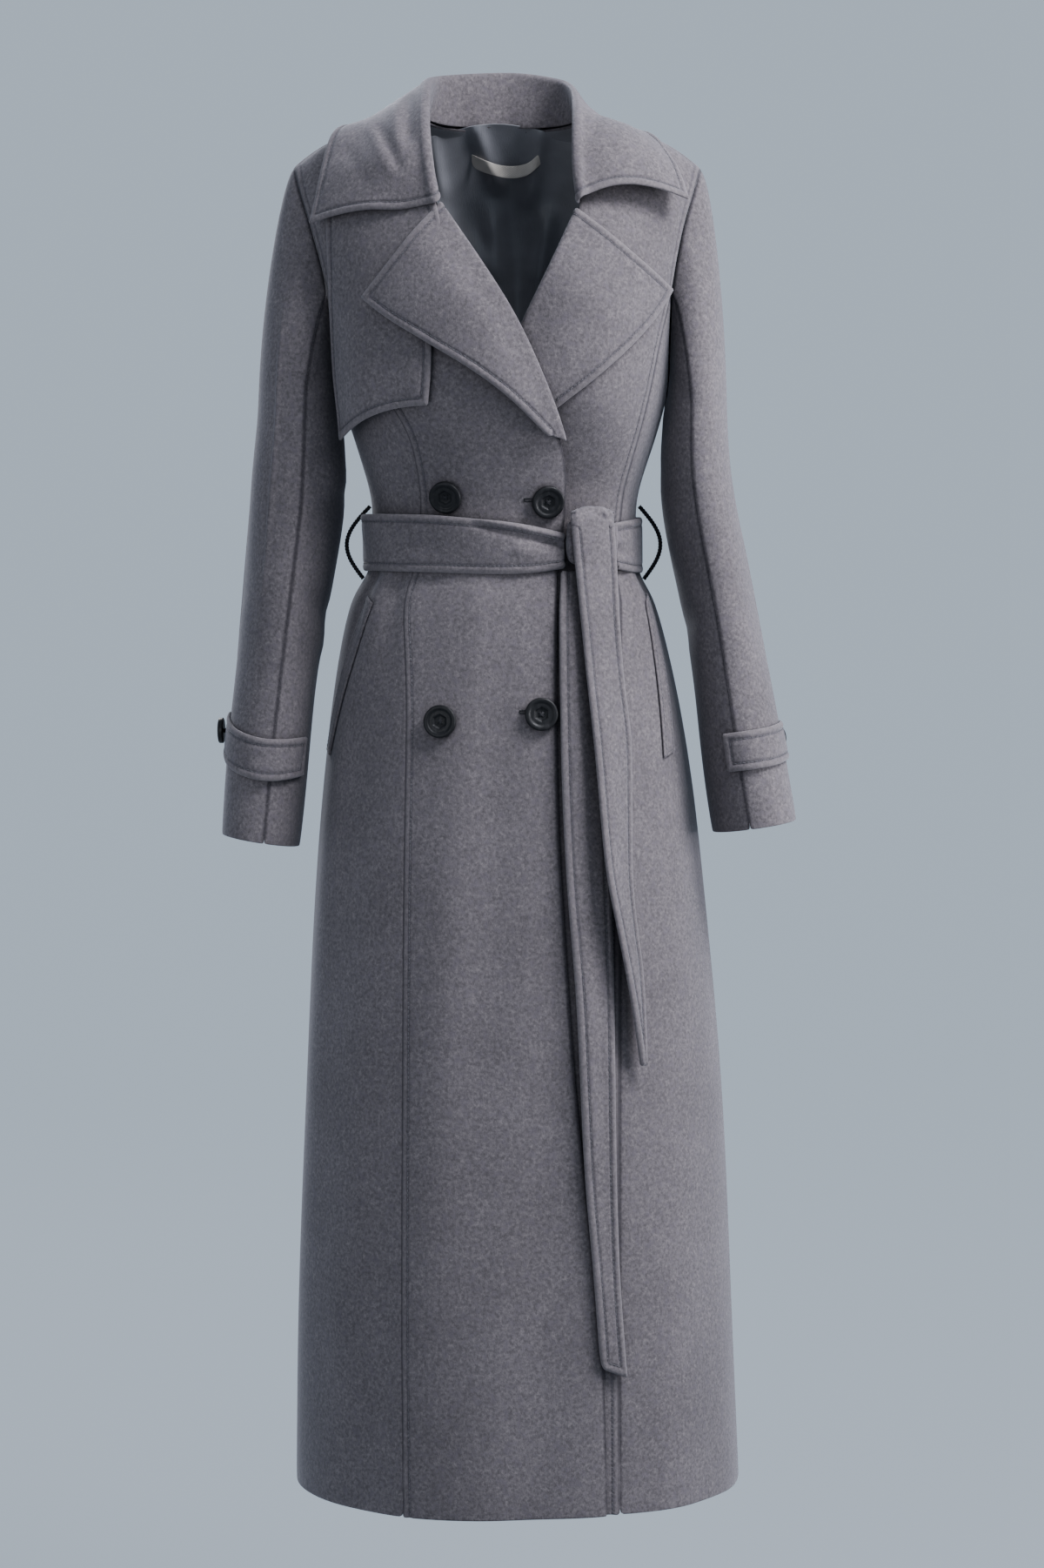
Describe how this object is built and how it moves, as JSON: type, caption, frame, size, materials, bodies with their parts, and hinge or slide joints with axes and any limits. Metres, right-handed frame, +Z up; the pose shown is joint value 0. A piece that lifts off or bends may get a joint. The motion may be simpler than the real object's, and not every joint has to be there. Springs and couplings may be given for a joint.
{
  "type": "belted maxi coat",
  "caption": "Long double-breasted wool coat with wide lapels, storm flap, tied belt and sleeve straps, worn shape with open hollows.",
  "frame": {"origin": "at the neck base, in line with the shoulder seams, where the wearer's neck and shoulders hold the coat", "axes": "+Z up, the front faces -Y, and the wearer's right side is at -X"},
  "size_m": [0.535, 0.3692, 1.3162],
  "materials": {
    "wool": "brushed mid-grey wool melton",
    "satin": "dark satin lining",
    "horn": "near-black horn-look resin",
    "strip": "pale woven tape",
    "thread": "dark grey braided thread"
  },
  "bodies": {
    "root": {"front_right": "wool", "side_front_right": "wool", "front_left": "wool", "side_front_left": "wool", "back_right": "wool", "back_left": "wool", "sleeve_upper_right": "wool", "sleeve_under_right": "wool", "sleeve_upper_left": "wool", "sleeve_under_left": "wool", "collar": "wool", "lapel_right": "wool", "lapel_left": "wool", "storm_flap": "wool", "pocket_welt_right": "wool", "pocket_welt_left": "wool", "sleeve_strap_right": "wool", "sleeve_strap_left": "wool", "belt_band": "wool", "belt_knot": "wool", "belt_tail_wide": "wool", "belt_tail_long": "wool", "button_upper_right": "horn", "button_upper_left": "horn", "button_lower_right": "horn", "button_lower_left": "horn", "strap_button_right": "horn", "strap_button_left": "horn", "lining": "satin", "hanger_loop": "strip", "belt_loop_right": "thread", "belt_loop_left": "thread"}
  },
  "joints": []
}
